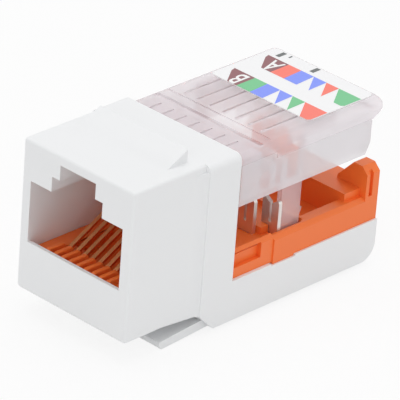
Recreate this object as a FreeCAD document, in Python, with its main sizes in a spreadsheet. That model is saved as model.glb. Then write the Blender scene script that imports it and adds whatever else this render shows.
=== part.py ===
"""Keystone jack, tool-less, eight ways, modelled as a parametric FreeCAD document.

Millimetres.  X runs across the jack, Y from the front face to the cable end, Z up.
Heights in the sheet are counted from the underside of the front block.  Every body
is then lowered by port_centre, so that the origin is the middle of the port's mouth.
"""

import FreeCAD, Part
import os
import re

import Sketcher

# The dimensions, one name each: alias, value or formula, what it is.
SIZES = [
    ("fit_gap", 0.05, "clearance between pieces that are pressed together"),
    ("run_gap", 0.15, "clearance round the wire cap, which travels"),
    # housing, front block
    ("front_width", 14.85, "width of the block that fills the panel opening"),
    ("front_height", 16.2, "height of that block"),
    ("front_round", 0.35, "rounding of the front block's upright edges"),
    ("under_round", 0.55, "rounding of the block's lower edges"),
    ("edge_round", 0.3, "rounding of the front block's upper edges"),
    ("column_round", 0.8, "rounding of the columns' upper outer edges"),
    ("web_reach", 0.45, "how far the hollow web stands out at the shoulder"),
    ("web_run", 1.4, "length of that web in front of the shoulder"),
    ("shoulder", 9.6, "depth from the front face to the shoulder"),
    ("column_rear", 13.85, "depth from the front face to the back of the columns"),
    ("wedge_foot", 5.85, "depth at which the fixed wedge starts"),
    ("wedge_crest", 8.5, "depth of the wedge's upright back"),
    ("wedge_rise", 1.35, "height of the wedge"),
    ("wedge_inset", 1.55, "distance from the wedge's end to the block's side"),
    # housing, rear block and tray
    ("shoulder_step", 0.565, "how far the shoulder stands out on each side"),
    ("rear_width", "=front_width + 2 * shoulder_step", "width of the rear block"),
    ("overall_length", 34.6, "front face to cable end"),
    ("rear_drop", 1.9, "how far the tray reaches below the front block"),
    ("ramp_run", 2.0, "length of the ramp below the shoulder"),
    ("tray_rim", 2.5, "height of the tray's rim"),
    ("tray_wall", 0.85, "thickness of the tray's walls"),
    ("tray_floor", 1.2, "thickness of the tray's floor"),
    ("rim_dip", 0.2, "depth of the dip in the tray's rim"),
    ("dip_front", 19.3, "depth at which that dip starts"),
    ("dip_rear", 22.7, "depth at which it ends"),
    ("tray_front", 11.4, "depth at which the tray's hollow starts"),
    ("tray_round", 1.9, "rounding of the tray's lower back edge"),
    # housing, port
    ("port_width", 12.4, "width of the port for the plug's body"),
    ("port_floor", 5.47, "height of the front lip"),
    ("port_roof", 12.0, "height of the port's main roof"),
    ("step_width", 6.8, "width of the step above it"),
    ("step_roof", 13.6, "height of that step's roof"),
    ("notch_width", 4.76, "width of the notch for the plug's tab"),
    ("notch_roof", 15.2, "height of the notch's roof"),
    ("port_centre", 8.735, "height of the middle of the port's mouth"),
    ("lip_depth", 0.4, "thickness of the lip below the port"),
    ("cavity_floor", 1.2, "height of the floor under the board"),
    # housing, spring tongue
    ("tongue_inset", 0.225, "distance from the tongue to the block's side"),
    ("tongue_width", "=front_width - 2 * tongue_inset", "width of the spring tongue"),
    ("tongue_tip", 5.0, "depth of the tongue's tip"),
    ("tongue_thick", 0.85, "thickness of the tongue"),
    ("tongue_root", 1.0, "how far the tongue's root reaches into the tray's floor"),
    ("tongue_nose", 0.4, "height and depth of the bevel under the tongue's tip"),
    ("tongue_fall", 0.45, "how far the tongue slopes down towards its tip"),
    # widths that the rails, the floor and the cap share
    ("front_rail_inset", 0.34, "how far the front rails stand inside the housing's sides"),
    ("front_rail_width", "=rear_width - 2 * front_rail_inset", "width over the front rails"),
    ("rear_rail_inset", 0.19, "how far the rear rails stand inside the housing's sides"),
    ("rear_rail_width", "=rear_width - 2 * rear_rail_inset", "width over the rear rails"),
    ("rail_rim", 0.5, "width of a front rail beside the floor"),
    ("floor_width", "=front_rail_width - 2 * rail_rim", "width of the floor round the blades"),
    ("skirt_inset", 0.09, "how far the cap's skirts stand inside the housing's sides"),
    ("cap_width", "=rear_width - 2 * skirt_inset", "width over the skirts"),
    # circuit board
    ("board_thick", 1.0, "thickness of the board"),
    ("board_inset", 0.25, "distance from the board to the side of its space"),
    ("board_width", "=port_width - 2 * board_inset", "width of the board"),
    ("board_edge", 0.45, "distance from the board to the floor's edge under the blades"),
    ("board_wide", "=floor_width - 2 * board_edge", "width of the board under the blades"),
    ("board_front", 4.2, "depth of the board's front edge"),
    ("board_rear", 25.0, "depth of the board's back edge"),
    # contacts and their carrier
    ("contact_pitch", 1.02, "pitch of the spring contacts"),
    ("contact_width", 0.42, "width of a contact"),
    ("contact_thick", 0.3, "thickness of a contact"),
    ("contact_slope", 28.0, "angle of a contact's slope, in degrees"),
    ("contact_toe", 1.7, "depth of a contact's free end"),
    ("contact_bend", 3.05, "depth at which a contact starts to rise"),
    ("contact_leg", 10.6, "depth of the upright leg"),
    ("contact_rest", 4.62, "height of a contact's underside at its free end"),
    ("bend_round", 0.35, "inside radius of a contact's bends"),
    ("sled_top", 4.55, "height of the carrier's plate"),
    ("sled_rear", 13.3, "depth of the carrier's back"),
    ("backstop_depth", 1.9, "thickness of the carrier's upright back"),
    ("backstop_top", 11.8, "height of the carrier's upright back"),
    ("shelf_width", 1.9, "width of the smooth shelf beside the contacts"),
    ("shelf_rise", 0.2, "height of that shelf above the plate"),
    ("shelf_bevel", 0.8, "bevel on the front of the shelf"),
    ("comb_finger", 0.52, "width of a comb finger"),
    ("comb_round", 0.4, "rounding of a comb finger's top ends"),
    ("comb_rise", 0.85, "height of the comb above the plate"),
    ("comb_front", 0.5, "depth of the comb's front"),
    ("comb_rear", 3.0, "depth of the comb's back"),
    ("trough_front", 4.4, "depth at which the trough under the contacts starts"),
    ("trough_rear", 9.8, "depth at which that trough ends"),
    ("trough_floor", 3.1, "height of the trough's floor"),
    # insulation displacement blades
    ("wire_margin", 0.27, "distance from the outermost wire's field to the floor's edge"),
    ("wire_pitch", "=(floor_width - 2 * wire_margin) / 8", "pitch of the eight wires"),
    ("blade_overlap", 0.43, "how much wider a blade is than the pitch"),
    ("blade_width", "=wire_pitch + blade_overlap", "width of a blade"),
    ("blade_thick", 0.45, "thickness of a blade"),
    ("blade_top", 8.4, "height of a blade's tips"),
    ("blade_lead", 1.6, "width of the lead-in between the tips"),
    ("lead_bottom", 7.95, "height at which the lead-in ends"),
    ("slot_width", 0.3, "width of the slot that grips the wire"),
    ("slot_bottom", 5.9, "height of the slot's end"),
    ("tip_bevel", 0.22, "bevel on the outside of the tips"),
    ("root_width", 1.2, "width of a blade's root in the terminal base"),
    ("row_front", 19.28, "depth of the front row of blades"),
    ("row_rear", 20.95, "depth of the rear row of blades"),
    # terminal base
    ("base_front", 14.0, "depth of the base's front"),
    ("base_rear", "=overall_length - fit_gap", "depth of the base's back"),
    ("rail_step", 19.7, "depth at which the rails step outwards"),
    ("front_rail_top", 5.5, "height of the front rails"),
    ("rear_rail_top", 5.3, "height of the rear rails"),
    ("rail_bevel", 0.4, "bevel on the rails' upper outer edges"),
    ("blade_floor", 4.75, "height of the floor round the blades"),
    ("floor_rear", 24.2, "depth at which that floor ends"),
    ("recess_rear", 18.0, "depth at which the recess in the rail ends"),
    ("recess_bottom", 3.6, "height of the recess's lower edge"),
    ("recess_top", 5.2, "height of the recess's upper edge"),
    ("recess_depth", 0.5, "depth of the recess into the rail"),
    ("stop_width", 0.95, "width of the stops in front of the rear blades"),
    ("stop_offset", 0.53, "distance from a rear blade's middle to its stop's middle"),
    ("stop_height", 0.8, "height of those stops"),
    ("well_inset", 0.85, "distance from the well to the floor's edge"),
    ("well_width", "=floor_width - 2 * well_inset", "width of the well behind the blades"),
    ("post_depth", 1.85, "thickness of the corner posts, front to back"),
    ("post_front", "=base_rear - post_depth", "depth of the corner posts' fronts"),
    ("well_front", 24.9, "depth at which the well starts"),
    ("ledge_depth", 2.2, "depth of the ledge in front of the posts"),
    ("well_rear", "=post_front - ledge_depth", "depth of the well's back wall"),
    ("well_floor", 3.2, "height of the well's floor"),
    ("ledge_top", 6.1, "height of the ledge that carries the cable"),
    ("ledge_inset", 0.95, "distance from the ledge to the cap's side"),
    ("ledge_width", "=cap_width - 2 * ledge_inset", "width of the ledge"),
    ("post_thick", 1.9, "width of a post at its top"),
    ("post_shoulder", "=rear_rail_width / 2 - post_thick", "half the gap between the posts' tops"),
    ("post_slope", 2.0, "how far a post's foot reaches inwards"),
    ("post_inside", "=post_shoulder - post_slope", "half the gap between the posts at the ledge"),
    ("post_foot", 0.3, "height of the upright foot of a post's inner side"),
    ("post_top", 8.55, "height of the corner posts"),
    ("post_bevel", 0.75, "bevel on the posts' outer top edges"),
    ("groove_offset", 0.45, "distance from a post's front to its groove"),
    ("groove_front", "=post_front + groove_offset", "depth at which the groove in a post starts"),
    ("groove_width", 0.5, "width of that groove"),
    ("groove_depth", 0.35, "depth of that groove into the post"),
    # wire cap
    ("cap_travel", 4.5, "how far the cap is pressed down"),
    ("cap_top", 15.85, "height of the cap's top, raised"),
    ("cap_skin", 0.9, "thickness of the cap's top"),
    ("strip_drop", 0.12, "how far the front strip lies below the cap's top"),
    ("strip_rear", 18.9, "depth at which the front strip ends"),
    ("cap_rear", "=overall_length", "depth of the cap's back edge"),
    ("skirt_thick", 0.75, "thickness of a skirt"),
    ("skirt_bottom", 10.45, "height of the skirts' lower edge"),
    ("skirt_gap", 0.2, "gap between the skirts and the posts"),
    ("skirt_rear", "=post_front - skirt_gap", "depth at which the skirts end"),
    ("lip_width", "=rear_width", "width over the finger lips"),
    ("lip_bottom", 14.2, "height of the lips' underside"),
    ("lip_round", 1.6, "rounding of the cap's upper side edges"),
    ("back_lip", 1.25, "thickness of the lip at the cap's back"),
    ("back_round", 0.7, "rounding of the cap's back edge"),
    ("corner_cut", 1.3, "size of the rounded cut at the cap's back corners"),
    ("overhang_rise", 1.0, "how far the cap's underside rises towards its back edge"),
    ("skirt_bevel", 0.6, "depth of the steep bevel on the skirts' lower back corners"),
    ("comb_wall", 1.0, "thickness of the cap's front comb"),
    ("holder_bottom", 10.6, "height of the wire holder's underside"),
    ("holder_front", 17.5, "depth of the wire holder's front"),
    ("holder_rear", 23.1, "depth of the wire holder's back"),
    ("channel_width", 1.3, "width of a wire channel"),
    ("channel_roof", 11.9, "height of a wire channel's roof"),
    ("blade_relief", 0.2, "clearance round the blades in the wire holder"),
    ("rib_thick", 0.3, "thickness of the ribs under the cap's top"),
    ("rib_bottom", 13.2, "height of the ribs' lower edges"),
    ("rib_end", 2.5, "distance from the ribs' ends to the skirts' ends"),
    ("rib_rear", "=skirt_rear - rib_end", "depth at which the ribs end"),
    ("score_width", 0.24, "width of the score lines in the front strip"),
    ("score_depth", 0.4, "depth of the score lines"),
    ("score_rear", 16.2, "depth at which the score lines end"),
    ("line_front", 19.4, "depth at which the lines in front of the label start"),
    ("line_depth", 0.25, "depth of those lines"),
    ("crease_front", 17.1, "depth of the groove across the cap"),
    ("crease_width", 0.6, "width of that groove"),
    ("crease_end", 0.8, "distance from the groove's end to the skirt's outside"),
    ("crease_depth", 0.3, "depth of that groove"),
    ("leg_inset", 1.7, "distance from a guide leg to the cap's side"),
    ("leg_inside", "=cap_width / 2 - leg_inset", "distance from the middle to a guide leg"),
    ("leg_thick", 0.6, "thickness of a guide leg"),
    ("leg_front", 21.35, "depth of a guide leg's front"),
    ("leg_rear", 24.1, "depth of a guide leg's back"),
    ("leg_bottom", 4.1, "height of a guide leg's end"),
    ("barb_bottom", 5.9, "height of the barb on a guide leg"),
    ("barb_height", 0.8, "height of the barb's slope"),
    ("barb_depth", 0.3, "how far the barb stands out"),
    # label
    ("label_inset", 1.34, "distance from the label to the lips' outsides"),
    ("label_width", "=lip_width - 2 * label_inset", "width of the label"),
    ("label_margin", 0.7, "distance from the label to the cap's back edge"),
    ("label_rear", "=cap_rear - label_margin", "depth of the label's back edge"),
    ("label_depth", 9.4, "depth of the label, front to back"),
    ("label_front", "=label_rear - label_depth", "depth of the label's front edge"),
    ("label_thick", 0.08, "thickness of the label"),
    ("label_round", 0.6, "rounding of the label's corners"),
]

NAMES = {name for name, _, _ in SIZES}
WIRES = 8
DOC = FreeCAD.newDocument("keystone_jack")


def make_sheet():
    """The sheet that holds every driving dimension, under its own alias."""
    sheet = DOC.addObject("Spreadsheet::Sheet", "Sizes")
    for row, (name, value, note) in enumerate(SIZES, start=1):
        sheet.set(f"A{row}", str(value))
        sheet.setAlias(f"A{row}", name)
        sheet.set(f"B{row}", note)
    DOC.recompute()
    return sheet


SHEET = make_sheet()


def bound(text):
    """An expression on the sheet, from one written with bare aliases."""
    return re.sub(r"[a-z_]+", lambda m: "Sizes." + m[0] if m[0] in NAMES else m[0], str(text))


def value(text):
    """What such an expression comes to now."""
    return float(SHEET.evalExpression(bound(text)))


def new_body(name):
    """A body whose frame is lowered so that the port's middle is at the origin."""
    body = DOC.addObject("PartDesign::Body", name)
    body.Label = name
    body.setExpression("Placement.Base.z", bound("-port_centre"))
    return body


def plane_of(body, role):
    """One of the body's own origin planes."""
    return next(f for f in body.Origin.OriginFeatures if f.Role == role)


# Each drawing plane: role, sign of its normal along the axis it is lifted on.
PLANES = {"XY": ("XY_Plane", 1), "XZ": ("XZ_Plane", -1), "YZ": ("YZ_Plane", 1)}


def sketch(body, name, plane, start, loops):
    """Closed outlines on an origin plane moved to start; every corner is bound to the sheet."""
    role, sign = PLANES[plane]
    drawn = body.newObject("Sketcher::SketchObject", name + "_sketch")
    drawn.AttachmentSupport = [(plane_of(body, role), "")]
    drawn.MapMode = "FlatFace"
    drawn.setExpression("AttachmentOffset.Base.z", bound(f"{sign} * ({start})"))
    for loop in loops:
        first = drawn.GeometryCount
        corners = [FreeCAD.Vector(value(u), value(v), 0) for u, v in loop]
        count = len(corners)
        for i, corner in enumerate(corners):
            drawn.addGeometry(Part.LineSegment(corner, corners[(i + 1) % count]), False)
        for i in range(count):
            after = first + (i + 1) % count
            drawn.addConstraint(Sketcher.Constraint("Coincident", first + i, 2, after, 1))
        for i, pair in enumerate(loop):
            for kind, text, size in zip(("DistanceX", "DistanceY"), pair, corners[i][:2]):
                at = drawn.addConstraint(Sketcher.Constraint(kind, -1, 1, first + i, 1, size))
                drawn.setExpression(f"Constraints[{at}]", bound(text))
    return drawn


def pad(body, name, plane, start, length, *loops):
    """Material from start, over length, towards +X, +Y or +Z."""
    feature = body.newObject("PartDesign::Pad", name)
    feature.Profile = sketch(body, name, plane, start, loops)
    feature.setExpression("Length", bound(length))
    feature.Reversed = PLANES[plane][1] < 0
    DOC.recompute()
    return feature


def cut(body, name, plane, start, length, *loops):
    """A hollow from start, over length, towards +X, +Y or +Z."""
    before = body.Shape.Volume
    feature = body.newObject("PartDesign::Pocket", name)
    feature.Profile = sketch(body, name, plane, start, loops)
    feature.setExpression("Length", bound(length))
    feature.Reversed = PLANES[plane][1] > 0
    DOC.recompute()
    if body.Shape.Volume >= before - 1e-6:
        raise RuntimeError(f"{body.Label}.{name} cuts nothing")
    return feature


def rounded(body, name, radius, wanted):
    """Fillet on the edges of the body that wanted(edge) picks."""
    edges = [f"Edge{i}" for i, e in enumerate(body.Shape.Edges, start=1) if wanted(e)]
    base = body.Tip
    feature = body.newObject("PartDesign::Fillet", name)
    feature.Base = (base, edges)
    feature.setExpression("Radius", bound(radius))
    DOC.recompute()
    if not edges or "Invalid" in feature.State:
        raise RuntimeError(f"{body.Label}.{name} rounds nothing")
    return feature


def runs_along(edge, axis):
    """Whether an edge is straight and runs along axis 0, 1 or 2."""
    if len(edge.Vertexes) != 2:
        return False
    span = edge.Vertexes[1].Point - edge.Vertexes[0].Point
    return abs(abs(span[axis]) - edge.Length) < 1e-6


def passes(edge, **where):
    """Whether both ends of an edge lie at the given places, written as sheet expressions."""
    drop = {"x": 0, "y": 0, "z": -value("port_centre")}
    for axis, text in where.items():
        place = value(text) + drop[axis]
        if any(abs(getattr(v.Point, axis) - place) > 1e-4 for v in edge.Vertexes):
            return False
    return True


def box(u_low, u_high, v_low, v_high):
    """A rectangle as a loop of corners."""
    return [(u_low, v_low), (u_high, v_low), (u_high, v_high), (u_low, v_high)]


def centred(width, v_low, v_high):
    """A rectangle of a width about the middle."""
    return box(f"-{width} / 2", f"{width} / 2", v_low, v_high)


def both_sides(loop):
    """A loop on the right, and its mirror image on the left."""
    return loop, [(f"-({u})", v) for u, v in reversed(loop)]


def wire_place(way):
    """Distance of one of the eight wires from the middle."""
    return f"({way} - {(WIRES - 1) / 2}) * wire_pitch"


def make_housing():
    """The white moulding: front block with the port, wedge, columns, tray and tongue."""
    body = new_body("housing")
    half = "front_width / 2"
    pad(body, "front_block", "XZ", "0", "column_rear", centred("front_width", "0", "front_height"))
    rounded(body, "front_corners", "front_round",
            lambda e: passes(e, y="0") and runs_along(e, 2))
    rounded(body, "front_top_edges", "edge_round",
            lambda e: passes(e, z="front_height") and not passes(e, y="column_rear"))
    rear = [
        ("shoulder", "front_height"), ("shoulder", "0"), ("shoulder + ramp_run", "-rear_drop"),
        ("overall_length", "-rear_drop"), ("overall_length", "tray_rim"),
        ("column_rear", "tray_rim"), ("column_rear", "front_height"),
    ]
    pad(body, "rear_block", "YZ", "-rear_width / 2", "rear_width", rear)
    rounded(body, "column_edges", "column_round",
            lambda e: runs_along(e, 1) and passes(e, z="front_height")
            and (passes(e, x="rear_width / 2") or passes(e, x="-rear_width / 2")))
    pad(body, "shoulder_webs", "XY", "0", "front_height - column_round", *both_sides(
        [(half, "shoulder - web_run"), (f"{half} + web_reach / 4", "shoulder - web_run / 3"),
         (f"{half} + web_reach", "shoulder"), (half, "shoulder")]))
    rounded(body, "lower_edges", "under_round",
            lambda e: runs_along(e, 0) and passes(e, y="0", z="0"))
    rounded(body, "tray_back_edge", "tray_round",
            lambda e: passes(e, y="overall_length", z="-rear_drop"))
    wedge = [("wedge_foot", "front_height"), ("wedge_crest", "front_height"),
             ("wedge_crest", "front_height + wedge_rise")]
    pad(body, "wedge", "YZ", f"wedge_inset - {half}", "front_width - 2 * wedge_inset", wedge)
    port = [
        ("-port_width / 2", "port_floor"), ("port_width / 2", "port_floor"),
        ("port_width / 2", "port_roof"), ("step_width / 2", "port_roof"),
        ("step_width / 2", "step_roof"), ("notch_width / 2", "step_roof"),
        ("notch_width / 2", "notch_roof"), ("-notch_width / 2", "notch_roof"),
        ("-notch_width / 2", "step_roof"), ("-step_width / 2", "step_roof"),
        ("-step_width / 2", "port_roof"), ("-port_width / 2", "port_roof"),
    ]
    cut(body, "port", "XZ", "0", "column_rear", port)
    cut(body, "carrier_cavity", "XZ", "lip_depth", "column_rear - lip_depth",
        centred("port_width", "cavity_floor", "port_floor"))
    cut(body, "tray_hollow", "XZ", "tray_front", "overall_length - tray_wall - tray_front",
        box("tray_wall - rear_width / 2", "rear_width / 2 - tray_wall",
            "tray_floor - rear_drop", "tray_rim"))
    cut(body, "rim_dips", "XY", "tray_rim - rim_dip", "rim_dip",
        *both_sides(box("rear_width / 2 - tray_wall", "rear_width / 2", "dip_front", "dip_rear")))
    underside = "-rear_drop - tongue_fall"
    root = "shoulder + ramp_run + tongue_root"
    tongue = [
        (root, "-rear_drop"), (root, "tongue_thick / 2 - rear_drop"),
        ("shoulder + ramp_run / 2", "tongue_thick - rear_drop"),
        ("tongue_tip", f"{underside} + tongue_thick"), ("tongue_tip", f"{underside} + tongue_nose"),
        ("tongue_tip + tongue_nose", underside),
    ]
    pad(body, "tongue", "YZ", "-tongue_width / 2", "tongue_width", tongue)
    return body


def board_outline(gap):
    """The board's outline, grown by gap: a wide middle under the blades, notched for the legs."""
    thin = f"board_width / 2 + {gap}"
    wide = f"board_wide / 2 + {gap}"
    rear = f"leg_inside - board_inset + {gap}"
    right = [
        (thin, f"board_front - {gap}"), (thin, f"base_front + fit_gap - {gap}"),
        (wide, f"base_front + fit_gap - {gap}"), (wide, f"leg_front - 3 * fit_gap + {gap}"),
        (rear, f"leg_front - 3 * fit_gap + {gap}"), (rear, f"board_rear + {gap}"),
    ]
    return right + [(f"-({u})", v) for u, v in reversed(right)]


def make_board():
    """The circuit board that joins the contacts to the blades."""
    body = new_body("circuit_board")
    pad(body, "board", "XY", "cavity_floor + fit_gap", "board_thick", board_outline("0"))
    return body


def make_sled():
    """The orange carrier in the port: plate, comb, trough and upright back."""
    body = new_body("contact_carrier")
    bottom = "cavity_floor + board_thick + 2 * fit_gap"
    width = "(port_width - 2 * fit_gap)"
    front = "lip_depth + fit_gap"
    side = f"{width} / 2"
    plate = [
        (front, bottom), ("sled_rear", bottom), ("sled_rear", "sled_top + shelf_rise"),
        (f"{front} + shelf_bevel", "sled_top + shelf_rise"),
        (front, "sled_top + shelf_rise - shelf_bevel"),
    ]
    pad(body, "plate", "YZ", f"-{side}", width, plate)
    rounded(body, "plate_front", "shelf_bevel / 2",
            lambda e: passes(e, y=f"{front} + shelf_bevel", z="sled_top + shelf_rise"))
    cut(body, "plate_middle", "XY", "sled_top", "shelf_rise",
        centred(f"({width} - 2 * shelf_width)", front, "sled_rear"))
    pad(body, "backstop", "XY", "sled_top", "backstop_top - sled_top",
        centred(width, "sled_rear - backstop_depth", "sled_rear"))
    fingers = []
    for i in range(WIRES + 1):
        middle = f"({i} - {WIRES / 2}) * contact_pitch"
        fingers.append(box(f"{middle} - comb_finger / 2", f"{middle} + comb_finger / 2",
                           "comb_front", "comb_rear"))
    pad(body, "comb", "XY", "sled_top", "comb_rise", *fingers)
    rounded(body, "comb_ends", "comb_round",
            lambda e: runs_along(e, 0) and passes(e, z="sled_top + comb_rise"))
    cut(body, "trough", "XY", "trough_floor", "sled_top - trough_floor",
        centred(f"({width} - 2 * shelf_width)", "trough_front", "trough_rear"))
    leg_slots = []
    for way in range(WIRES):
        middle = f"({way} - {(WIRES - 1) / 2}) * contact_pitch"
        leg_slots.append(box(f"{middle} - contact_width / 2 - fit_gap",
                             f"{middle} + contact_width / 2 + fit_gap",
                             "contact_leg - fit_gap", "contact_leg + contact_thick + fit_gap"))
    cut(body, "leg_slots", "XY", bottom, f"sled_top - ({bottom})", *leg_slots)
    return body


def make_contact(way):
    """One spring contact: free end in the comb, slope through the port, leg to the board."""
    body = new_body(f"contact_{way + 1}")
    middle = f"({way} - {(WIRES - 1) / 2}) * contact_pitch"
    thick = "contact_thick / cos(contact_slope * 1deg)"
    low_rise = "(contact_leg - contact_bend) * tan(contact_slope * 1deg)"
    high_rise = "(contact_leg + contact_thick - contact_bend) * tan(contact_slope * 1deg)"
    knee = f"contact_rest + {high_rise} + {thick}"
    foot = "cavity_floor + board_thick + fit_gap"
    outline = [
        ("contact_toe", "contact_rest"), ("contact_bend", "contact_rest"),
        ("contact_leg", f"contact_rest + {low_rise}"), ("contact_leg", foot),
        ("contact_leg + contact_thick", foot),
        ("contact_leg + contact_thick", knee),
        (f"contact_bend - ({thick} - contact_thick) / tan(contact_slope * 1deg)",
         "contact_rest + contact_thick"),
        ("contact_toe", "contact_rest + contact_thick"),
    ]
    pad(body, "strip", "YZ", f"{middle} - contact_width / 2", "contact_width", outline)
    rounded(body, "knee", "bend_round + contact_thick",
            lambda e: runs_along(e, 0) and passes(e, y="contact_leg + contact_thick", z=knee))
    rounded(body, "knee_inside", "bend_round",
            lambda e: runs_along(e, 0)
            and passes(e, y="contact_leg", z=f"contact_rest + {low_rise}"))
    return body


def make_blade(way):
    """One insulation displacement blade: a fork with a lead-in, on a narrower root."""
    body = new_body(f"idc_blade_{way + 1}")
    middle = wire_place(way)
    row = "row_rear" if way % 2 else "row_front"
    right = [
        ("slot_width / 2", "slot_bottom"), ("slot_width / 2", "lead_bottom"),
        ("blade_lead / 2", "blade_top"), ("blade_width / 2 - tip_bevel / 2", "blade_top"),
        ("blade_width / 2", "blade_top - tip_bevel"), ("blade_width / 2", "blade_floor"),
        ("root_width / 2", "blade_floor"),
        ("root_width / 2", "cavity_floor + board_thick + fit_gap"),
    ]
    outline = [(f"{middle} + {u}", v) for u, v in right]
    outline += [(f"{middle} - ({u})", v) for u, v in reversed(right)]
    pad(body, "fork", "XZ", f"{row} - blade_thick / 2", "blade_thick", outline)
    return body


def bevelled(width, v_low, v_high):
    """A rectangle about the middle whose two upper corners are bevelled."""
    side = f"{width} / 2"
    return [
        (f"-{side}", v_low), (side, v_low), (side, f"{v_high} - rail_bevel"),
        (f"{side} - rail_bevel", v_high), (f"rail_bevel - {side}", v_high),
        (f"-{side}", f"{v_high} - rail_bevel"),
    ]


def make_base():
    """The orange terminal base: rails, blade floor, cable well, ledge and corner posts."""
    body = new_body("terminal_base")
    floor = "tray_floor - rear_drop"
    inside = "(rear_width - 2 * tray_wall - 2 * fit_gap)"
    pad(body, "plug", "XY", floor, f"tray_rim - ({floor})",
        centred(inside, "base_front", "overall_length - tray_wall - fit_gap"))
    pad(body, "front_slab", "XZ", "base_front", "rail_step - base_front",
        bevelled("front_rail_width", "tray_rim", "front_rail_top"))
    pad(body, "rear_slab", "XZ", "rail_step", "base_rear - rail_step",
        bevelled("rear_rail_width", "tray_rim", "rear_rail_top"))
    pad(body, "rail_bulges", "XY", "tray_rim - rim_dip", "rim_dip", *both_sides(
        box(f"{inside} / 2", "rear_rail_width / 2", "rail_step", "dip_rear - fit_gap")))
    cut(body, "blade_area", "XY", "blade_floor", "front_rail_top - blade_floor",
        centred("floor_width", "base_front", "floor_rear"))
    stops = []
    for way in range(1, WIRES, 2):
        middle = wire_place(way)
        stops.append(box(f"{middle} - stop_offset - stop_width / 2",
                         f"{middle} - stop_offset + stop_width / 2",
                         "row_front + blade_thick / 2 + run_gap",
                         "row_rear - blade_thick / 2 - fit_gap"))
    pad(body, "blade_stops", "XY", "blade_floor", "stop_height", *stops)
    cut(body, "recesses", "XY", "recess_bottom", "recess_top - recess_bottom",
        *both_sides(box("front_rail_width / 2 - recess_depth", "front_rail_width / 2",
                        "base_front", "recess_rear")))
    cut(body, "well", "XY", "well_floor", "rear_rail_top - well_floor",
        centred("well_width", "well_front", "well_rear"))
    pad(body, "ledge", "XY", "rear_rail_top", "ledge_top - rear_rail_top",
        centred("ledge_width", "well_rear", "base_rear"))
    post = [
        ("post_inside", "rear_rail_top"), ("rear_rail_width / 2", "rear_rail_top - rail_bevel"),
        ("rear_rail_width / 2", "post_top - post_bevel"),
        ("rear_rail_width / 2 - post_bevel", "post_top"), ("post_shoulder", "post_top"),
        ("post_inside", "ledge_top + post_foot"),
    ]
    pad(body, "posts", "XZ", "post_front", "base_rear - post_front", *both_sides(post))
    cut(body, "post_grooves", "XY", "rear_rail_top", "post_top - rear_rail_top",
        *both_sides(box("rear_rail_width / 2 - groove_depth", "rear_rail_width / 2",
                        "groove_front", "groove_front + groove_width")))
    cut(body, "board_space", "XY", floor, f"cavity_floor + board_thick + 2 * fit_gap - ({floor})",
        board_outline("2 * fit_gap"))
    roots = []
    for way in range(WIRES):
        middle = wire_place(way)
        row = "row_rear" if way % 2 else "row_front"
        roots.append(box(f"{middle} - root_width / 2 - fit_gap",
                         f"{middle} + root_width / 2 + fit_gap",
                         f"{row} - blade_thick / 2 - fit_gap",
                         f"{row} + blade_thick / 2 + fit_gap"))
    cut(body, "root_slots", "XY", "cavity_floor + board_thick + 2 * fit_gap",
        "blade_floor - cavity_floor - board_thick - 2 * fit_gap", *roots)
    slot = box("leg_inside - run_gap", "leg_inside + leg_thick + run_gap",
               "leg_front - run_gap", "leg_rear + barb_depth + run_gap")
    cut(body, "leg_slots", "XY", "tray_rim", "rear_rail_top - tray_rim", *both_sides(slot))
    open_slot = box("leg_inside - run_gap", f"{inside} / 2",
                    "leg_front - run_gap", "leg_rear + barb_depth + run_gap")
    cut(body, "leg_notches", "XY", floor, f"tray_rim - ({floor})", *both_sides(open_slot))
    return body


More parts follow.
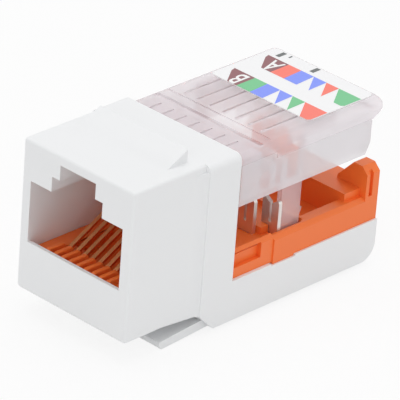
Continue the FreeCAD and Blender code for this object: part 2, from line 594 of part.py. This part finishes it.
def make_cap():
    """The clear wire cap: top with lips, skirts, wire holder and guide legs."""
    body = new_body("wire_cap")
    front = "column_rear + run_gap"
    under = "cap_top - cap_skin"
    inner = "cap_width / 2 - skirt_thick"
    pad(body, "lid", "XZ", front, f"cap_rear - ({front})",
        centred("lip_width", "lip_bottom", "cap_top"))
    rounded(body, "side_edges", "lip_round",
            lambda e: passes(e, z="cap_top") and runs_along(e, 1))
    rounded(body, "back_edges", "back_round",
            lambda e: passes(e, y="cap_rear") and not passes(e, z="lip_bottom"))
    cut(body, "strip_step", "XY", "cap_top - strip_drop", "strip_drop",
        centred("lip_width", front, "strip_rear"))
    cut(body, "lip_ends", "XY", "lip_bottom", "cap_top - lip_bottom",
        *both_sides(box("cap_width / 2", "lip_width / 2", front, "strip_rear")))
    cut(body, "lid_hollow", "XY", "lip_bottom", f"{under} - lip_bottom",
        box(f"-({inner})", inner, front, "cap_rear - back_lip"))
    cut(body, "overhang", "YZ", "-lip_width / 2", "lip_width",
        [("skirt_rear", "lip_bottom"), ("cap_rear", "lip_bottom"),
         ("cap_rear", "lip_bottom + overhang_rise")])
    side = "lip_width / 2"
    bulge = "corner_cut * (1 - cos(30 * 1deg))"
    cut(body, "back_corners", "XY", "lip_bottom", "cap_top - lip_bottom", *both_sides([
        (side, "cap_rear - corner_cut"), (side, "cap_rear"),
        (f"{side} - corner_cut", "cap_rear"),
        (f"{side} - corner_cut / 2", f"cap_rear - {bulge}"),
        (f"{side} - {bulge}", "cap_rear - corner_cut / 2"),
    ]))
    skirt = [
        (front, "skirt_bottom"), ("skirt_rear - skirt_bevel", "skirt_bottom"),
        ("skirt_rear", "skirt_bottom + 2 * skirt_bevel"), ("skirt_rear", "lip_bottom"),
        (front, "lip_bottom"),
    ]
    pad(body, "right_skirt", "YZ", inner, "skirt_thick", skirt)
    pad(body, "left_skirt", "YZ", "-cap_width / 2", "skirt_thick", skirt)
    pad(body, "front_comb", "XY", "holder_bottom", f"{under} - holder_bottom",
        box(f"-({inner})", inner, front, f"{front} + comb_wall"))
    pad(body, "wire_holder", "XY", "holder_bottom", f"{under} - holder_bottom",
        box(f"-({inner})", inner, "holder_front", "holder_rear"))
    pad(body, "ribs", "XY", "rib_bottom", f"{under} - rib_bottom",
        *[box(f"{i} * wire_pitch - rib_thick / 2", f"{i} * wire_pitch + rib_thick / 2",
              "holder_rear", "rib_rear") for i in range(1 - WIRES // 2, WIRES // 2)])
    pad(body, "legs", "XY", "leg_bottom", f"{under} - leg_bottom",
        *both_sides(box("leg_inside", "leg_inside + leg_thick", "leg_front", "leg_rear")))
    barb = [("leg_rear", "barb_bottom"), ("leg_rear + barb_depth", "barb_bottom + barb_height"),
            ("leg_rear", "barb_bottom + barb_height")]
    for name, start in (("right_barb", "leg_inside"), ("left_barb", "-leg_inside - leg_thick")):
        pad(body, name, "YZ", start, "leg_thick", barb)
    channels = []
    for way in range(WIRES):
        middle = wire_place(way)
        channels.append(box(f"{middle} - channel_width / 2", f"{middle} + channel_width / 2",
                            "holder_bottom", "channel_roof"))
    cut(body, "wire_channels", "XZ", front, f"leg_front - ({front})", *channels)
    reach = "blade_top + cap_travel + blade_relief"
    grooves = []
    for row in ("row_front", "row_rear"):
        grooves.append(box(f"-({inner})", inner, f"{row} - blade_thick / 2 - blade_relief",
                           f"{row} + blade_thick / 2 + blade_relief"))
    cut(body, "blade_grooves", "XY", "holder_bottom", f"{reach} - holder_bottom", *grooves)
    scores = [box(f"{i} * wire_pitch - score_width / 2", f"{i} * wire_pitch + score_width / 2",
                  front, "score_rear") for i in range(1 - WIRES // 2, WIRES // 2)]
    cut(body, "score_lines", "XY", "cap_top - strip_drop - score_depth", "score_depth", *scores)
    lines = [box(f"{i} * wire_pitch - score_width / 2", f"{i} * wire_pitch + score_width / 2",
                 "line_front", "label_front") for i in range(1 - WIRES // 2, WIRES // 2)]
    cut(body, "top_lines", "XY", "cap_top - line_depth", "line_depth", *lines)
    cut(body, "crease", "XY", "cap_top - strip_drop - crease_depth", "crease_depth",
        centred("(cap_width - 2 * crease_end)", "crease_front", "crease_front + crease_width"))
    return body


def make_label():
    """The thin label on the cap's top."""
    body = new_body("cap_label")
    pad(body, "sheet", "XY", "cap_top", "label_thick",
        centred("label_width", "label_front", "label_rear"))
    rounded(body, "corners", "label_round", lambda e: runs_along(e, 2))
    return body


def export(bodies):
    """Check every object and shape, then write one STEP file for each body."""
    DOC.recompute()
    for thing in DOC.Objects:
        if any(word in thing.State for word in ("Invalid", "Error")):
            raise RuntimeError(f"{thing.Label} failed: {thing.State}")
    for body in bodies:
        if body.Shape.isNull() or not body.Shape.isValid():
            raise RuntimeError(f"{body.Label} has no valid shape")
    os.makedirs("parts", exist_ok=True)
    for body in bodies:
        body.Shape.exportStep(f"parts/{body.Label}.step")
        print(f"{body.Label:18s} {len(body.Shape.Solids)} solid {body.Shape.Volume:9.2f} mm3")


BODIES = [make_housing(), make_board(), make_sled(), make_base(), make_cap(), make_label()]
BODIES += [make_contact(way) for way in range(WIRES)]
BODIES += [make_blade(way) for way in range(WIRES)]
export(BODIES)
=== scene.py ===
"""Looks of the keystone jack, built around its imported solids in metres."""

import logging
import math
from dataclasses import dataclass
from enum import Enum

import bmesh
import bpy
from mathutils import Matrix, Vector

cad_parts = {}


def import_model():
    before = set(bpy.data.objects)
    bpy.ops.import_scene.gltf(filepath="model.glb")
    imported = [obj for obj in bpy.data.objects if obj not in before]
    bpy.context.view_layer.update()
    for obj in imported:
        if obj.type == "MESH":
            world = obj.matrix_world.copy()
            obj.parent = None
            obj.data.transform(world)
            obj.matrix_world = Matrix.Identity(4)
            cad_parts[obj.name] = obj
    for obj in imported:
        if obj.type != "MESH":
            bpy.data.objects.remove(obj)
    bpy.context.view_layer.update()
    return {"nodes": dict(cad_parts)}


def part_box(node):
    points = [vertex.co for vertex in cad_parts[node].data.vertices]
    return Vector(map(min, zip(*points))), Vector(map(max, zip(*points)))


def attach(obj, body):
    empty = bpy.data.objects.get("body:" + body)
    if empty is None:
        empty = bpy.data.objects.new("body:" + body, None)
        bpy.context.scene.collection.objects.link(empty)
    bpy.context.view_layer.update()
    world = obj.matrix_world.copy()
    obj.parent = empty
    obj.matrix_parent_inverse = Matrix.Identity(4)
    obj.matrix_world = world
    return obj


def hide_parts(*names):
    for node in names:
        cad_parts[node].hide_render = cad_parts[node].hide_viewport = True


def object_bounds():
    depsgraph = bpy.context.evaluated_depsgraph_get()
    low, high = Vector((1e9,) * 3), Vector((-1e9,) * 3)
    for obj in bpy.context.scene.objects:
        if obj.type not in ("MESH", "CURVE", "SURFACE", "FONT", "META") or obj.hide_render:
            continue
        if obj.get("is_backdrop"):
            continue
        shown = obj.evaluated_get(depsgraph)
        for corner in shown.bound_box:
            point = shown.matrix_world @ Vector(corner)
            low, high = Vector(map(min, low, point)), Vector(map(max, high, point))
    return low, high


LOG = logging.getLogger("keystone_jack")
MM = 0.001
CONTACTS = 8
BLADES = 8

# How a solid's mesh is cleared up and its edges are rounded: corners nearer than the gap are one,
# faces within the flat angle are one, and edges past the sharp angle are rounded.
WELD_GAP = 0.002 * MM
FLAT_ANGLE = math.radians(0.5)
SHARP_ANGLE = math.radians(40)
ROUNDING_STEPS = 2

Colour = tuple[float, float, float]
Point = tuple[float, float]


class Body(Enum):
    """The rigid bodies a piece can ride on."""

    JACK = "jack"
    CAP = "cap"


class Slot(Enum):
    """The record's material slots."""

    WHITE = "white_plastic"
    ORANGE = "orange_plastic"
    CLEAR = "clear_plastic"
    PAPER = "label_paper"
    BOARD = "board_green"
    GOLD = "contact_gold"
    TIN = "blade_tin"


def linear(channel: float) -> float:
    """One display colour channel, 0 to 1, as the light it stands for."""
    return channel / 12.92 if channel <= 0.04045 else ((channel + 0.055) / 1.055) ** 2.4


def display(red: int, green: int, blue: int) -> Colour:
    """A display colour, each channel 0 to 255, as linear light."""
    return linear(red / 255), linear(green / 255), linear(blue / 255)


@dataclass(frozen=True)
class Finish:
    """A surface finish that becomes one procedural material.

    Attributes:
        name: the material's name.
        slot: the record's material slot; nothing in this script reads it.
        colour: the colour, in linear light.
        roughness: how dull the surface is, 0 to 1.
        metallic: how metallic it is, 0 to 1.
        grain: how strongly the fine grain shows, 0 to 1.
        grain_size: the grain's size, in metres.
        grain_depth: the grain's depth, in metres.
        mottle: how much darker the darkest patches are, 0 to 1.
        mottle_scale: how many patches lie side by side in a metre.
        mottle_detail: how finely the patches break up.
    """

    name: str
    slot: Slot
    colour: Colour
    roughness: float
    metallic: float = 0.0
    grain: float = 0.0
    grain_size: float = 0.25 * MM
    grain_depth: float = 0.02 * MM
    mottle: float = 0.0
    mottle_scale: float = 180.0
    mottle_detail: float = 2.0

    def material(self) -> bpy.types.Material:
        """The finish's material, made on its first use.

        Returns:
            The Blender material.
        """
        found = bpy.data.materials.get(self.name)
        if found is not None:
            return found
        made = bpy.data.materials.new(self.name)
        made.use_nodes = True
        tree = made.node_tree
        shader = tree.nodes["Principled BSDF"]
        shader.inputs["Base Color"].default_value = (*self.colour, 1.0)
        shader.inputs["Roughness"].default_value = self.roughness
        shader.inputs["Metallic"].default_value = self.metallic
        self.dress(tree, shader)
        return made

    def dress(self, tree: bpy.types.NodeTree, shader: bpy.types.Node) -> None:
        """Add the finish's grain and mottling, where it has them.

        Args:
            tree: the material's node tree.
            shader: its principled shader.
        """
        if not (self.mottle or self.grain):
            return
        place = tree.nodes.new("ShaderNodeTexCoord")
        if self.mottle:
            deep = [channel * (1 - self.mottle) for channel in self.colour]
            cloud = tree.nodes.new("ShaderNodeTexNoise")
            cloud.inputs["Scale"].default_value = self.mottle_scale
            cloud.inputs["Detail"].default_value = self.mottle_detail
            tint = tree.nodes.new("ShaderNodeMixRGB")
            tint.inputs["Color1"].default_value = (*self.colour, 1.0)
            tint.inputs["Color2"].default_value = (*deep, 1.0)
            tree.links.new(place.outputs["Object"], cloud.inputs["Vector"])
            tree.links.new(cloud.outputs["Fac"], tint.inputs["Fac"])
            tree.links.new(tint.outputs["Color"], shader.inputs["Base Color"])
        if self.grain:
            noise = tree.nodes.new("ShaderNodeTexNoise")
            noise.inputs["Scale"].default_value = 1.0 / self.grain_size
            bump = tree.nodes.new("ShaderNodeBump")
            bump.inputs["Strength"].default_value = self.grain
            bump.inputs["Distance"].default_value = self.grain_depth
            tree.links.new(place.outputs["Object"], noise.inputs["Vector"])
            tree.links.new(noise.outputs["Fac"], bump.inputs["Height"])
            tree.links.new(bump.outputs["Normal"], shader.inputs["Normal"])


@dataclass(frozen=True, kw_only=True)
class ClearFinish(Finish):
    """A clear moulding plastic, faintly milky.

    Attributes:
        cover: how much of what lies behind it is hidden, 0 to 1.
        transmission: how much of the light that meets it is refracted, 0 to 1.
        ior: its index of refraction.
    """

    cover: float
    transmission: float
    ior: float = 1.08

    def dress(self, tree: bpy.types.NodeTree, shader: bpy.types.Node) -> None:
        """Make the plastic let light through.

        Args:
            tree: the material's node tree.
            shader: its principled shader.
        """
        shader.inputs["Alpha"].default_value = self.cover
        shader.inputs["Transmission Weight"].default_value = self.transmission
        shader.inputs["IOR"].default_value = self.ior


WHITE_PLASTIC = Finish(
    "white moulding plastic", Slot.WHITE, display(243, 244, 245), 0.42, grain=0.05
)
ORANGE_PLASTIC = Finish(
    "orange moulding plastic", Slot.ORANGE, display(255, 124, 52), 0.4, grain=0.05, mottle=0.05
)
CLEAR_TOP = ClearFinish(
    "clear moulding plastic", Slot.CLEAR, display(250, 244, 248), 0.22, cover=0.66, transmission=0.3
)
CLEAR_SIDE = ClearFinish(
    "frosted clear plastic", Slot.CLEAR, display(244, 241, 244), 0.35, cover=0.76, transmission=0.2
)
CLEAR_INNER = ClearFinish(
    "clear plastic inside", Slot.CLEAR, display(250, 242, 244), 0.25, cover=0.38, transmission=0.2
)
COPPER_GOLD = Finish("gold plate", Slot.GOLD, display(232, 164, 112), 0.22, metallic=0.95)
TIN_PLATE = Finish("bright tin plate", Slot.TIN, display(224, 218, 214), 0.3, metallic=0.85)
LABEL_PAPER = Finish("label paper", Slot.PAPER, display(250, 250, 251), 0.6)
BOARD_MASK = Finish("green board", Slot.BOARD, display(20, 80, 45), 0.35, mottle=0.2)


class Ink(Enum):
    """The inks of the label's rows and marks."""

    BROWN = Finish("brown ink", Slot.PAPER, display(150, 104, 108), 0.6)
    RED = Finish("red ink", Slot.PAPER, display(255, 134, 120), 0.6)
    BLUE = Finish("blue ink", Slot.PAPER, display(140, 159, 255), 0.6)
    GREEN = Finish("green ink", Slot.PAPER, display(128, 205, 152), 0.6)
    GREY = Finish("grey ink", Slot.PAPER, display(115, 118, 118), 0.6)
    WHITE = Finish("bare label", Slot.PAPER, display(252, 252, 252), 0.6)


def linked(name: str, data: bpy.types.ID) -> bpy.types.Object:
    """Put a mesh, a text, a lamp or a camera into the scene.

    Args:
        name: the object's name.
        data: what the object shows.

    Returns:
        The new object.
    """
    made = bpy.data.objects.new(name, data)
    bpy.context.scene.collection.objects.link(made)
    return made


def dressed(node: bpy.types.Object, finish: Finish) -> None:
    """Give a solid's own mesh a finish.

    Args:
        node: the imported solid.
        finish: the finish it takes.
    """
    node.data.materials.clear()
    node.data.materials.append(finish.material())
    LOG.info("%s dressed in %s", node.name, finish.name)


def softened(
    node: bpy.types.Object, finish: Finish, body: Body, radius: float, clamp: bool = True
) -> bpy.types.Object:
    """Stand in for a solid with a copy whose edges are slightly rounded, as a moulding's are.

    Args:
        node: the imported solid.
        finish: the finish of the copy.
        body: the body it rides on.
        radius: the rounding, in metres.
        clamp: whether narrow faces hold the rounding back.

    Returns:
        The rounded copy.
    """
    mesh = bpy.data.meshes.new(f"{node.name}_soft")
    shape = bmesh.new()
    shape.from_mesh(node.data)
    bmesh.ops.remove_doubles(shape, verts=shape.verts, dist=WELD_GAP)
    bmesh.ops.dissolve_limit(
        shape, angle_limit=FLAT_ANGLE, verts=shape.verts, edges=shape.edges
    )
    shape.to_mesh(mesh)
    shape.free()
    old_normals = mesh.attributes.get("custom_normal")
    if old_normals is not None:
        mesh.attributes.remove(old_normals)
    piece = linked(f"{node.name}_soft", mesh)
    bevel = piece.modifiers.new("soft edges", "BEVEL")
    bevel.width = radius
    bevel.segments = ROUNDING_STEPS
    bevel.limit_method = "ANGLE"
    bevel.angle_limit = SHARP_ANGLE
    bevel.use_clamp_overlap = clamp
    bevel.harden_normals = True
    mesh.polygons.foreach_set("use_smooth", [True] * len(mesh.polygons))
    mesh.materials.append(finish.material())
    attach(piece, body.value)
    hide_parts(node.name)
    LOG.info("%s stands for %s", piece.name, node.name)
    return piece


def printed(name: str, outline: list[Point], height: float, ink: Ink) -> None:
    """Print a flat field of ink, which rides on the cap.

    Args:
        name: the piece's name.
        outline: the field's corners, in millimetres across and along the jack.
        height: the height at which the ink lies, in metres.
        ink: the ink.
    """
    mesh = bpy.data.meshes.new(name)
    points = [(u * MM, v * MM, height) for u, v in outline]
    mesh.from_pydata(points, [], [tuple(range(len(points)))])
    if mesh.polygons[0].normal.z < 0:
        mesh.flip_normals()
    piece = linked(name, mesh)
    mesh.materials.append(ink.value.material())
    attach(piece, Body.CAP.value)
    LOG.info("%s printed in %s", piece.name, ink.value.name)


@dataclass
class Housing:
    """The white snap-in housing.

    Attributes:
        nodes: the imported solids.
        edge: the rounding of its edges, in metres.
    """

    nodes: dict[str, bpy.types.Object]
    edge: float = 0.12 * MM

    def build(self) -> None:
        """Dress the housing."""
        softened(self.nodes["housing"], WHITE_PLASTIC, Body.JACK, self.edge)


@dataclass
class PortInsert:
    """The orange carrier in the port and its eight spring contacts.

    Attributes:
        nodes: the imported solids.
        edge: the rounding of the carrier's edges, in metres.
    """

    nodes: dict[str, bpy.types.Object]
    edge: float = 0.14 * MM

    def build(self) -> None:
        """Dress the carrier and the contacts."""
        softened(self.nodes["contact_carrier"], ORANGE_PLASTIC, Body.JACK, self.edge, clamp=False)
        for way in range(1, CONTACTS + 1):
            dressed(self.nodes[f"contact_{way}"], COPPER_GOLD)


@dataclass
class TerminalBlock:
    """The orange terminal base, its blades and the board beneath.

    Attributes:
        nodes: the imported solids.
        edge: the rounding of the base's edges, in metres.
    """

    nodes: dict[str, bpy.types.Object]
    edge: float = 0.15 * MM

    def build(self) -> None:
        """Dress the base, the blades and the board."""
        softened(self.nodes["terminal_base"], ORANGE_PLASTIC, Body.JACK, self.edge)
        for way in range(1, BLADES + 1):
            dressed(self.nodes[f"idc_blade_{way}"], TIN_PLATE)
        dressed(self.nodes["circuit_board"], BOARD_MASK)


@dataclass
class WireCap:
    """The clear cap that presses the wires home.

    Attributes:
        nodes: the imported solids.
        edge: the rounding of its edges, in metres.
        top: how far its polished top reaches down, in metres.
        wall: how far its outer walls reach inwards, in metres.
        skirt: how far its skirts reach down, in metres.
    """

    nodes: dict[str, bpy.types.Object]
    edge: float = 0.1 * MM
    top: float = 1.7 * MM
    wall: float = 1.1 * MM
    skirt: float = 5.3 * MM

    def build(self) -> None:
        """Dress the cap: its top polished, its skirts frosted, its legs and wire holder clear."""
        piece = softened(self.nodes["wire_cap"], CLEAR_TOP, Body.CAP, self.edge)
        piece.data.materials.append(CLEAR_SIDE.material())
        piece.data.materials.append(CLEAR_INNER.material())
        top_index, side_index, inner_index = range(3)
        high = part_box("wire_cap")[1]
        for face in piece.data.polygons:
            spot = face.center
            outer = abs(spot.x) > high.x - self.wall or spot.y > high.y - self.wall
            if spot.z >= high.z - self.top:
                face.material_index = top_index
            elif outer and spot.z >= high.z - self.skirt:
                face.material_index = side_index
            else:
                face.material_index = inner_index


@dataclass(frozen=True)
class Mark:
    """A plain grey mark by the label's back edge, in millimetres.

    Attributes:
        name: the mark's name.
        left: its left side.
        right: its right side.
        front: its front edge.
        rear: its back edge.
    """

    name: str
    left: float
    right: float
    front: float
    rear: float


MARKS = (
    Mark("left", -5.4, -4.9, 32.5, 33.7),
    Mark("dash", -4.3, -4.1, 33.2, 33.7),
    Mark("middle", -0.87, -0.35, 32.6, 33.75),
)


@dataclass
class Label:
    """The label and its two rows of wire colours, in millimetres where nothing else is said.

    Attributes:
        nodes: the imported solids.
        pitch: the wires' pitch, which the fields follow.
        edges: where the fields begin and end at a row's rear edge, in pitches.
        tips: where the third, fourth and fifth field end at a row's front edge, in pitches.
        row_depth: a row's depth.
        row_a_front: the front edge of row A.
        row_b_front: the front edge of row B.
        left: the left side of the flags.
        flag_step: how far a flag's front edge starts from its left side.
        flag_corner: the width and depth of a flag's cut corner.
        right: the right side of the rows.
        right_corner: the width and depth of a row's cut corner at the right.
        slant: how far the first two fields lean to the right.
        letter_middle: the middle of the rows' letters.
        letter_size: the letters' size.
        letter_weight: how far the letters' strokes are thickened.
        condensed: the letters' width against their plain one.
        lift: how far the ink lies above the label, in metres.
    """

    nodes: dict[str, bpy.types.Object]
    pitch: float = 1.72
    edges: tuple[float, ...] = (-1.8, -0.83, 0.17, 1.15, 2.12)
    tips: tuple[float, ...] = (1.2, 2.16, 3.15)
    row_depth: float = 2.7
    row_a_front: float = 29.35
    row_b_front: float = 24.5
    left: float = -5.9
    flag_step: float = 1.55
    flag_corner: Point = (0.15, 0.6)
    right: float = 6.6
    right_corner: Point = (0.25, 0.3)
    slant: float = 0.15
    letter_middle: float = -3.95
    letter_size: float = 3.4
    letter_weight: float = 0.05
    condensed: float = 0.6
    lift: float = 0.01 * MM

    def height(self) -> float:
        """The height at which the ink lies, in metres."""
        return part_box("cap_label")[1].z + self.lift

    def add(self, name: str, outline: list[Point], ink: Ink) -> None:
        """Print one field, whose corners are in millimetres."""
        printed(f"label_{name}", outline, self.height(), ink)

    def flag(self, name: str, front: float) -> None:
        """Print the brown flag that carries a row's letter.

        Args:
            name: the row's letter.
            front: the depth of the row's front edge.
        """
        rear = front + self.row_depth
        right = self.edges[0] * self.pitch
        across, along = self.flag_corner
        outline = [
            (self.left, rear),
            (right, rear),
            (right, front),
            (self.left + self.flag_step, front),
            (self.left + across, rear - along),
        ]
        self.add(f"flag_{name}", outline, Ink.BROWN)

    def letter(self, name: str, front: float) -> None:
        """Print a row's letter, which reads from the cable end.

        Args:
            name: the letter.
            front: the depth of the row's front edge.
        """
        text = bpy.data.curves.new(f"letter_{name}", "FONT")
        text.body = name
        text.size = self.letter_size * MM
        text.align_x = "CENTER"
        text.align_y = "CENTER"
        text.offset = self.letter_weight * MM
        holder = linked(f"letter_{name}_curve", text)
        bpy.context.view_layer.update()
        mesh = bpy.data.meshes.new_from_object(holder)
        bpy.data.objects.remove(holder)
        piece = linked(f"label_letter_{name}", mesh)
        along = (front + self.row_depth / 2) * MM
        middle = Vector((self.letter_middle * MM, along, self.height() + self.lift))
        half_turn = Matrix.Rotation(math.pi, 4, "Z")
        narrow = Matrix.Diagonal((self.condensed, 1.0, 1.0, 1.0))
        piece.matrix_world = Matrix.Translation(middle) @ half_turn @ narrow
        mesh.materials.clear()
        mesh.materials.append(Ink.WHITE.value.material())
        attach(piece, Body.CAP.value)
        LOG.info("%s printed in %s", piece.name, Ink.WHITE.value.name)

    def row(self, name: str, front: float, inks: tuple[Ink, Ink, Ink, Ink]) -> None:
        """Print one row: a flag, two full fields, two points and a last full field.

        Args:
            name: the row's letter.
            front: the depth of the row's front edge.
            inks: the inks of the first field, of the second and the first point, of the second
                point, and of the last field.
        """
        rear = front + self.row_depth
        first, second, point, last = inks
        a, b, c, d, e = (step * self.pitch for step in self.edges)
        tip_3, tip_4, tip_5 = (step * self.pitch for step in self.tips)
        lean_b = self.slant + b
        lean_c = self.slant + c
        across, along = self.right_corner
        self.flag(name, front)
        self.letter(name, front)
        self.add(f"{name}_1", [(a, rear), (b, rear), (lean_b, front), (a, front)], first)
        self.add(f"{name}_2", [(b, rear), (c, rear), (lean_c, front), (lean_b, front)], second)
        self.add(f"{name}_3", [(c, rear), (d, rear), (tip_3, front)], second)
        self.add(f"{name}_4", [(d, rear), (e, rear), (tip_4, front)], point)
        outline = [
            (e, rear),
            (self.right, rear),
            (self.right, front + along),
            (self.right - across, front),
            (tip_5, front),
        ]
        self.add(f"{name}_5", outline, last)

    def mark(self, mark: Mark) -> None:
        """Print one plain grey mark.

        Args:
            mark: the mark.
        """
        outline = [
            (mark.left, mark.front),
            (mark.right, mark.front),
            (mark.right, mark.rear),
            (mark.left, mark.rear),
        ]
        self.add(f"mark_{mark.name}", outline, Ink.GREY)

    def build(self) -> None:
        """Dress the label and print it."""
        dressed(self.nodes["cap_label"], LABEL_PAPER)
        self.row("A", self.row_a_front, (Ink.RED, Ink.BLUE, Ink.RED, Ink.GREEN))
        self.row("B", self.row_b_front, (Ink.GREEN, Ink.BLUE, Ink.GREEN, Ink.RED))
        for mark in MARKS:
            self.mark(mark)


@dataclass(frozen=True)
class Lamp:
    """One soft area lamp.

    Attributes:
        name: the lamp's name.
        place: where it hangs, in metres.
        size: its edge, in metres.
        power: its power, in watts.
    """

    name: str
    place: tuple[float, float, float]
    size: float
    power: float


LAMPS = (
    Lamp("top_lamp", (-0.05, 0.05, 0.5), 0.5, 1.0),
    Lamp("front_lamp", (0.1, -0.5, 0.2), 0.4, 0.3),
    Lamp("side_lamp", (0.45, 0.16, 0.08), 0.3, 0.2),
)


@dataclass
class Studio:
    """Floor, light and camera.

    Attributes:
        azimuth: how far the camera stands round from the front to the right, in degrees.
        elevation: how far it stands above the level, in degrees.
        roll: how far it leans, in degrees.
        distance: how far it stands from the point it aims at, in metres.
        near: how close a thing may come and still be seen, in metres.
        lens: its focal length, in millimetres.
        aim: the point that it and the lamps aim at, in metres.
        shift: how far its picture is shifted, in parts of its width.
        ambient: how strongly the surround lights the jack.
        whitening: how far the floor is brought to white where it is seen, 0 to 1.
        floor_half: half the floor's side, in metres.
        floor_grey: how light the floor is, 0 to 1.
        floor_roughness: how dull the floor is, 0 to 1.
    """

    azimuth: float = 42.37
    elevation: float = 27.32
    roll: float = 4.37
    distance: float = 408.86 * MM
    near: float = 0.01
    lens: float = 379.3
    aim: tuple[float, float, float] = (0.0, 17.0 * MM, -0.735 * MM)
    shift: Point = (0.0006, -0.023)
    ambient: float = 0.6
    whitening: float = 0.85
    floor_half: float = 0.6
    floor_grey: float = 0.92
    floor_roughness: float = 0.9

    def camera(self) -> None:
        """Place the camera."""
        az, el, roll = (math.radians(a) for a in (self.azimuth, self.elevation, self.roll))
        back = Vector((math.sin(az) * math.cos(el), -math.cos(az) * math.cos(el), math.sin(el)))
        side = Vector((math.cos(az), math.sin(az), 0.0))
        up = back.cross(side)
        side_rolled = math.cos(roll) * side + math.sin(roll) * up
        up_rolled = back.cross(side_rolled)
        data = bpy.data.cameras.new("camera")
        data.lens = self.lens
        data.shift_x, data.shift_y = self.shift
        data.clip_start = self.near
        eye = linked("camera", data)
        turn = Matrix((side_rolled, up_rolled, back)).transposed().to_4x4()
        eye.matrix_world = Matrix.Translation(Vector(self.aim) + back * self.distance) @ turn
        bpy.context.scene.camera = eye

    def lamp(self, lamp: Lamp) -> None:
        """Hang one lamp and aim it at the jack.

        Args:
            lamp: the lamp.
        """
        data = bpy.data.lights.new(lamp.name, "AREA")
        data.size = lamp.size
        data.energy = lamp.power
        made = linked(lamp.name, data)
        made.location = lamp.place
        aim = Vector(self.aim) - Vector(lamp.place)
        made.rotation_euler = aim.to_track_quat("-Z", "Y").to_euler()

    def seen(self, tree: bpy.types.NodeTree) -> bpy.types.NodeSocket:
        """A number that is 1 for the rays that look straight, by gloss or through clear pieces.

        Args:
            tree: the node tree that needs it.

        Returns:
            The socket that gives the number.
        """
        path = tree.nodes.new("ShaderNodeLightPath")
        number = path.outputs["Is Camera Ray"]
        for ray in ("Is Transmission Ray", "Is Glossy Ray"):
            either = tree.nodes.new("ShaderNodeMath")
            either.operation = "MAXIMUM"
            tree.links.new(number, either.inputs[0])
            tree.links.new(path.outputs[ray], either.inputs[1])
            number = either.outputs[0]
        return number

    def world(self) -> None:
        """An even white surround that the camera, gloss and glass see as white."""
        world = bpy.data.worlds.new("studio")
        world.use_nodes = True
        bpy.context.scene.world = world
        tree = world.node_tree
        plain = tree.nodes["Background"]
        plain.inputs["Color"].default_value = (1.0, 1.0, 1.0, 1.0)
        plain.inputs["Strength"].default_value = self.ambient
        white = tree.nodes.new("ShaderNodeBackground")
        white.inputs["Color"].default_value = (1.0, 1.0, 1.0, 1.0)
        white.inputs["Strength"].default_value = 1.0
        mix = tree.nodes.new("ShaderNodeMixShader")
        tree.links.new(self.seen(tree), mix.inputs[0])
        tree.links.new(plain.outputs[0], mix.inputs[1])
        tree.links.new(white.outputs[0], mix.inputs[2])
        tree.links.new(mix.outputs[0], tree.nodes["World Output"].inputs[0])

    def floor(self) -> None:
        """A pale floor under the jack that keeps its shadow."""
        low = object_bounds()[0].z
        half = self.floor_half
        grey = self.floor_grey
        mesh = bpy.data.meshes.new("floor")
        points = [(-half, -half, low), (half, -half, low), (half, half, low), (-half, half, low)]
        mesh.from_pydata(points, [], [(0, 1, 2, 3)])
        plane = linked("floor", mesh)
        made = bpy.data.materials.new("floor")
        made.use_nodes = True
        tree = made.node_tree
        shader = tree.nodes["Principled BSDF"]
        shader.inputs["Base Color"].default_value = (grey, grey, grey, 1.0)
        shader.inputs["Roughness"].default_value = self.floor_roughness
        glow = tree.nodes.new("ShaderNodeEmission")
        mix = tree.nodes.new("ShaderNodeMixShader")
        share = tree.nodes.new("ShaderNodeMath")
        share.operation = "MULTIPLY"
        share.inputs[1].default_value = self.whitening
        tree.links.new(self.seen(tree), share.inputs[0])
        tree.links.new(share.outputs[0], mix.inputs[0])
        tree.links.new(shader.outputs[0], mix.inputs[1])
        tree.links.new(glow.outputs[0], mix.inputs[2])
        tree.links.new(mix.outputs[0], tree.nodes["Material Output"].inputs[0])
        mesh.materials.append(made)
        plane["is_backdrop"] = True

    def build(self) -> None:
        """Set up the floor, the light and the camera."""
        self.floor()
        self.world()
        for lamp in LAMPS:
            self.lamp(lamp)
        self.camera()
        bpy.context.scene.view_settings.view_transform = "Standard"


def main() -> None:
    """Build the jack's looks."""
    logging.basicConfig(level=logging.INFO, format="%(message)s")
    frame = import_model()
    nodes = frame["nodes"]
    for assembly in (Housing, PortInsert, TerminalBlock, WireCap, Label):
        assembly(nodes).build()
    Studio().build()


if __name__ == "__main__":
    main()
